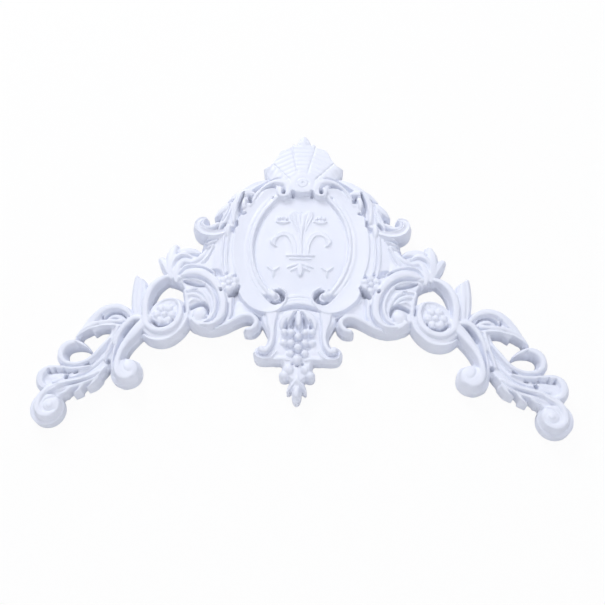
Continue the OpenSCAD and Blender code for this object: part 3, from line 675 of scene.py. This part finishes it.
def shapePendant():
    fill([(-20, -86), (0, -86), (22, -90), (41.5, -95), (43, -103), (38.6, -112), (34.4, -121),
          (34.4, -128), (37, -133.5), (42, -133.6), (47.5, -137), (49.5, -144.4), (46, -151),
          (38, -153), (18, -153.4), (16, -166), (6, -176), (5, -186), (0, -194), (-20, -194)], 17)
    band([(31, -95), (31, -106), (29.8, -116), (29.6, -126), (31.6, -135), (36.2, -141),
          (41.5, -140.6)],
         [8.6, 6.6, 4.4, 4, 4, 4.2, 4], [20, 20.6, 21.2, 21.8, 22.3, 22.8, 23], "flat", 1.2)
    dome((40.6, -139), 5, 23.4, 1.6)
    groove([(23.4, -100), (25.4, -109), (25, -119), (25.8, -128), (28.6, -137), (33.6, -144),
            (39.6, -145.4), (44.4, -142.6), (46, -137.5)],
           [1.1, 1.2, 1.2, 1.4, 1.2], [1.2, 1.6, 2.2, 2.8, 2.2])
    band([(24, -141), (30.5, -148.6), (38, -150.4), (45, -148.4), (48, -142.5)], [1.8],
         [19, 19.5, 20, 20, 19.5], "round", 1.0)
    band([(9, -151), (16, -149), (25, -150)], [2.6, 3.6, 3], [18.5, 19, 18.5], "round", 1.6)
    dome((17.5, -139), 6, 17.5, 1.5, 1.6)
    # leaf cap and grapes
    pit([(0, -113), (0, -124), (0, -134), (0, -142)], [18, 20.5, 19.5, 10], 13.8)
    band([(3, -91), (9.5, -94), (15, -99.5), (18.4, -106), (19, -112.5)], [2.6, 4.4, 5, 4.4, 2.4],
         [21, 21.4, 21.4, 21, 19.5], "round", 0.9)
    band([(6, -92), (9.4, -98), (12, -104.5)], [2.6, 3, 1.8], [21.6, 21.8, 20.5], "round", 0.8)
    dome((0, -101.5), 4.7, 22.5, 1, 2.9)
    groove([(0, -90), (0, -96), (0, -103)], [1, 0.9], [1.6, 0.6, 0.4])
    pit([(5, -99), (6.4, -104.5), (7.6, -109)], [0.9, 1.7, 2.4], 8.5)
    pit([(13.6, -107.5), (14.2, -110.5)], [1.2, 1.8], 9)
    grapes = [(7.9, -117.5, 4.4), (15.6, -117.3, 4.3), (0, -122.4, 4.5), (7.9, -130.2, 4.5),
              (15.8, -130.2, 4.3), (0, -136, 4.9), (8, -143, 4.3)]
    for x, y, radius in grapes:
        ball((x, y), radius, 21.5)
    ball((0, -150.4), 6, 23)
    band([(0, -156), (0, -163), (0, -169)], [4, 3, 3.4], [17.5], "round", 1.2)
    ball((9.4, -162), 6.4, 21)
    ball((14.2, -168.2), 5.4, 19.5)
    dome((0, -174), 4.4, 19, 2, 1.8)
    band([(2, -176), (6, -181), (9.4, -187)], [3, 3, 1.4], [19, 18.6, 17], "ridge", 1.6)
    dome((0, -189.5), 4.8, 20.5, 3, 2)
    for spot in ((0, -157.6), (5.4, -155.6), (8.5, -177)):
        pit([spot, (spot[0] + 0.4, spot[1])], [1.5, 1.5], 12.5)


shapeCartouche()
shapePanelMotif()
shapeCrest()
shapeSideLeaf()
shapeShoulder()
shapeEar()
shapeMiddleScroll()
shapeOuterScroll()
shapeRosettes()
shapeReedLeaf()
shapeCurl()
shapeWing()
shapeHook()
shapePendant()
# gap over the outer rosette, cut last because a later shape would close it
opening([(135, -65), (143, -58.5), (153, -56.5), (160, -60), (165, -68), (168, -81), (163, -79.5),
         (153, -76), (142, -75), (136.5, -70)])
height = soften(height, casting["softness"])
cover = soften(cover, casting["outlineSoftness"])
print("carving laid out")


# Points just outside the outline are pulled onto it, so that the cut edge is smooth
def pullToOutline():
    cell = casting["cell"]
    edge = cover + casting["ledge"]
    slopeY, slopeX = np.gradient(edge, cell)
    solid = edge > 0.25 * cell
    kept = solid.copy()
    for dy in (-1, 0, 1):
        for dx in (-1, 0, 1):
            kept |= np.roll(np.roll(solid, dy, 0), dx, 1)
    pull = np.where(kept & ~solid, edge / np.maximum(slopeX ** 2 + slopeY ** 2, 0.2), 0)
    x = gridX - pull * slopeX
    x[:, 0] = 0
    y = gridY - pull * slopeY
    z = height - casting["rimDrop"] * np.clip(1 - edge / casting["rimWidth"], 0, 1)
    return x, y, z, kept, solid


# Millimetres of the layout turned into places in the CAD box
def placeInBox(x, y, z, kept, solid):
    square = kept[:-1, :-1] & kept[1:, :-1] & kept[:-1, 1:] & kept[1:, 1:]
    square &= solid[:-1, :-1] | solid[1:, :-1] | solid[:-1, 1:] | solid[1:, 1:]
    used = np.zeros(kept.shape, bool)
    for part in (np.s_[:-1, :-1], np.s_[1:, :-1], np.s_[:-1, 1:], np.s_[1:, 1:]):
        used[part] |= square
    right, lowY, highY = x[used].max(), y[used].min(), y[used].max()
    gap = casting["boxGap"]
    scaleX = (cadHigh.x - gap) / right
    scaleY = (cadHigh.z - cadLow.z - 2 * gap) / (highY - lowY)
    print("layout", round(right, 2), round(lowY, 2), round(highY, 2), "tallest", round(height.max(), 2))
    depth = -np.minimum(z, casting["tallest"]) / 1000
    return np.stack([x * scaleX, depth, cadLow.z + gap + (y - lowY) * scaleY], 2)


def vertexPlaces(mesh):
    places = np.empty(len(mesh.vertices) * 3, np.float32)
    mesh.vertices.foreach_get("co", places)
    return places.reshape(-1, 3)


def carvedSkin():
    x, y, z, kept, solid = pullToOutline()
    place = placeInBox(x, y, z, kept, solid)
    bpy.ops.object.select_all(action="DESELECT")
    bpy.ops.mesh.primitive_grid_add(x_subdivisions=columns - 1, y_subdivisions=rows - 1, size=1)
    piece = bpy.context.object
    piece.name = "castPediment"
    mesh = piece.data
    # the plain grid's own places say which row and column each vertex is
    plain = vertexPlaces(mesh) + 0.5
    column = np.rint(plain[:, 0] * (columns - 1)).astype(int)
    row = np.rint(plain[:, 1] * (rows - 1)).astype(int)
    mesh.vertices.foreach_set("co", place[row, column].astype(np.float32).ravel())
    corners = np.empty(len(mesh.loops), np.int32)
    mesh.loops.foreach_get("vertex_index", corners)
    corners = corners.reshape(-1, 4)
    spare = ~kept[row, column][corners].all(1) | ~solid[row, column][corners].any(1)
    bpy.ops.object.mode_set(mode="EDIT")
    bpy.ops.mesh.select_mode(type="FACE")
    bpy.ops.mesh.select_all(action="DESELECT")
    bpy.ops.object.mode_set(mode="OBJECT")
    mesh.polygons.foreach_set("select", spare)
    bpy.ops.object.mode_set(mode="EDIT")
    bpy.ops.mesh.delete(type="FACE")
    bpy.ops.object.mode_set(mode="OBJECT")
    print("outline cut", len(mesh.polygons), "faces")
    return piece


def mirrorHalf(piece):
    mirror = piece.modifiers.new("mirror", "MIRROR")
    mirror.use_mirror_merge = True
    mirror.merge_threshold = casting["mergeGap"]
    bpy.ops.object.modifier_apply(modifier="mirror")


# Solidify adds a copy of the skin and a rim between the two, always in the same order, so that the
# thinning comes out the same each time. The copy is then pressed flat as the back.
def closeBack(piece):
    front = vertexPlaces(piece.data)
    back = front.copy()
    back[:, 1] = 0
    wall = piece.modifiers.new("wall", "SOLIDIFY")
    wall.thickness = casting["plate"] / 1000
    bpy.ops.object.modifier_apply(modifier="wall")
    piece.data.vertices.foreach_set("co", np.concatenate([front, back]).ravel())
    bpy.ops.object.mode_set(mode="EDIT")
    bpy.ops.mesh.select_all(action="SELECT")
    bpy.ops.mesh.normals_make_consistent(inside=False)
    bpy.ops.object.mode_set(mode="OBJECT")


def thinOut(piece):
    triangles = sum(len(face.vertices) - 2 for face in piece.data.polygons)
    thin = piece.modifiers.new("thin", "DECIMATE")
    thin.ratio = casting["triangles"] / triangles
    bpy.ops.object.modifier_apply(modifier="thin")
    bpy.ops.object.shade_smooth_by_angle(angle=math.radians(casting["smoothAngle"]))
    print("pediment", len(piece.data.polygons), "faces from", triangles)


def linear(hexColour):
    parts = [int(hexColour[i:i + 2], 16) / 255 for i in (1, 3, 5)]
    return tuple(c / 12.92 if c <= 0.04045 else ((c + 0.055) / 1.055) ** 2.4 for c in parts) + (1,)


def addNode(tree, kind, settings, links=()):
    node = tree.nodes.new(kind)
    for name, value in settings.items():
        if name in node.inputs:
            node.inputs[name].default_value = value
        else:
            setattr(node, name, value)
    for source, output, target in links:
        tree.links.new(source.outputs[output], node.inputs[target])
    return node


resin = {
    "deep": "#E3E7F3",
    "pale": "#E9ECF6",
    "roughness": (0.4, 0.52),
    "patchSize": 0.045,  # metres, the soft patches that a cast coat shows
    "grainSize": 0.0016,  # metres; the real grain is finer, and is drawn this coarse to show
    "grainDepth": 0.0002,
    "grainStrength": 0.12,
}


# White polyurethane resin, cast in a rubber mould: satin and faintly cool, with soft patches that are
# a little paler and duller
def satinResin():
    material = bpy.data.materials.new("satinCastResin")
    material.use_nodes = True
    tree = material.node_tree
    tree.nodes.clear()
    place = addNode(tree, "ShaderNodeTexCoord", {})
    patches = addNode(tree, "ShaderNodeTexNoise",
                      {"Scale": 1 / resin["patchSize"], "Detail": 3.0, "Roughness": 0.5},
                      [(place, "Object", "Vector")])
    tint = addNode(tree, "ShaderNodeValToRGB", {}, [(patches, "Fac", "Fac")])
    for stop, position, colour in zip(tint.color_ramp.elements, (0.3, 0.72), ("deep", "pale")):
        stop.position = position
        stop.color = linear(resin[colour])
    satin, dull = resin["roughness"]
    sheen = addNode(tree, "ShaderNodeMapRange",
                    {"From Min": 0.3, "From Max": 0.7, "To Min": satin, "To Max": dull},
                    [(patches, "Fac", "Value")])
    grain = addNode(tree, "ShaderNodeTexNoise", {"Scale": 1 / resin["grainSize"], "Detail": 2.0},
                    [(place, "Object", "Vector")])
    bump = addNode(tree, "ShaderNodeBump",
                   {"Strength": resin["grainStrength"], "Distance": resin["grainDepth"]},
                   [(grain, "Fac", "Height")])
    links = [(tint, "Color", "Base Color"), (sheen, "Result", "Roughness"), (bump, "Normal", "Normal")]
    surface = addNode(tree, "ShaderNodeBsdfPrincipled", {"IOR": 1.5}, links)
    addNode(tree, "ShaderNodeOutputMaterial", {}, [(surface, "BSDF", "Surface")])
    return material


piece = carvedSkin()
mirrorHalf(piece)
closeBack(piece)
thinOut(piece)
piece.data.materials.clear()
piece.data.materials.append(satinResin())
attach(piece, "root")
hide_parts("pediment")


stage = {
    "paper": "#EAEAEA",
    "white": "#FFFFFF",
    "wallGlow": 0.94,  # how much of plain white the eye sees on the wall
    "floorGlow": 0.6,
    "wallSize": 6,  # metres, as are the places below
    "wallGap": 0.0008,
    "floorSize": 8,
    "floorLevel": -0.9,
    "sky": "#F4F6FF",
    "skyStrength": 0.61,
    "cameraAt": (0.03589, -0.96603, -0.52204),
    "cameraTurn": (115.038, -2.569, 3.5006),
    "lens": 53.554,
    "lensShift": (0.0651, -0.00585),
    "sensor": 36,
}

# Areas of soft light; power is in watts
lamps = {
    "windowLamp": {"place": (-0.9, -1.5, 1.8), "size": 1.0, "power": 27},
    "frontLamp": {"place": (0.4, -2.4, 0.7), "size": 1.6, "power": 12},
}
lampTarget = (0, 0, -0.05)


# Matt paper that casts and holds shadows, and that is seen only from its front
def paperMaterial(name, glow):
    material = bpy.data.materials.new(name)
    material.use_nodes = True
    tree = material.node_tree
    tree.nodes.clear()
    matt = addNode(tree, "ShaderNodeBsdfDiffuse", {"Color": linear(stage["paper"])})
    white = addNode(tree, "ShaderNodeEmission", {"Color": linear(stage["white"]), "Strength": 1.0})
    ray = addNode(tree, "ShaderNodeLightPath", {})
    share = addNode(tree, "ShaderNodeMath", {"operation": "MULTIPLY"}, [(ray, "Is Camera Ray", 0)])
    share.inputs[1].default_value = glow
    seen = addNode(tree, "ShaderNodeMixShader", {},
                   [(share, "Value", 0), (matt, "BSDF", 1), (white, "Emission", 2)])
    clear = addNode(tree, "ShaderNodeBsdfTransparent", {})
    facing = addNode(tree, "ShaderNodeNewGeometry", {})
    both = addNode(tree, "ShaderNodeMixShader", {},
                   [(facing, "Backfacing", 0), (seen, "Shader", 1), (clear, "BSDF", 2)])
    addNode(tree, "ShaderNodeOutputMaterial", {}, [(both, "Shader", "Surface")])
    return material


def buildStage():
    bpy.ops.object.select_all(action="DESELECT")
    upright = (math.radians(90), 0, 0)
    bpy.ops.mesh.primitive_plane_add(size=stage["wallSize"], location=(0, stage["wallGap"], 0),
                                     rotation=upright)
    wall = bpy.context.object
    wall.name = "paperWall"
    wall.data.materials.append(paperMaterial("whitePaper", stage["wallGlow"]))
    bpy.ops.mesh.primitive_plane_add(size=stage["floorSize"], location=(0, 0, stage["floorLevel"]))
    floor = bpy.context.object
    floor.name = "paleFloor"
    floor.data.materials.append(paperMaterial("paleFloor", stage["floorGlow"]))


def addLamp(name, place, size, power):
    bpy.ops.object.light_add(type="AREA", location=place)
    lamp = bpy.context.object
    lamp.name = name
    lamp.data.size = size
    lamp.data.energy = power
    lamp.rotation_euler = (Vector(lampTarget) - Vector(place)).to_track_quat("-Z", "Y").to_euler()


def lightScene():
    for name, lamp in lamps.items():
        addLamp(name, **lamp)
    world = bpy.data.worlds.new("studio")
    world.use_nodes = True
    background = world.node_tree.nodes["Background"]
    background.inputs["Color"].default_value = linear(stage["sky"])
    background.inputs["Strength"].default_value = stage["skyStrength"]
    bpy.context.scene.world = world


def addCamera():
    turn = [math.radians(angle) for angle in stage["cameraTurn"]]
    bpy.ops.object.camera_add(location=stage["cameraAt"], rotation=turn)
    camera = bpy.context.object
    camera.data.lens = stage["lens"]
    camera.data.sensor_width = stage["sensor"]
    camera.data.shift_x, camera.data.shift_y = stage["lensShift"]
    bpy.context.scene.camera = camera


buildStage()
lightScene()
addCamera()
bpy.context.scene.view_settings.view_transform = "Standard"
print("stage set")
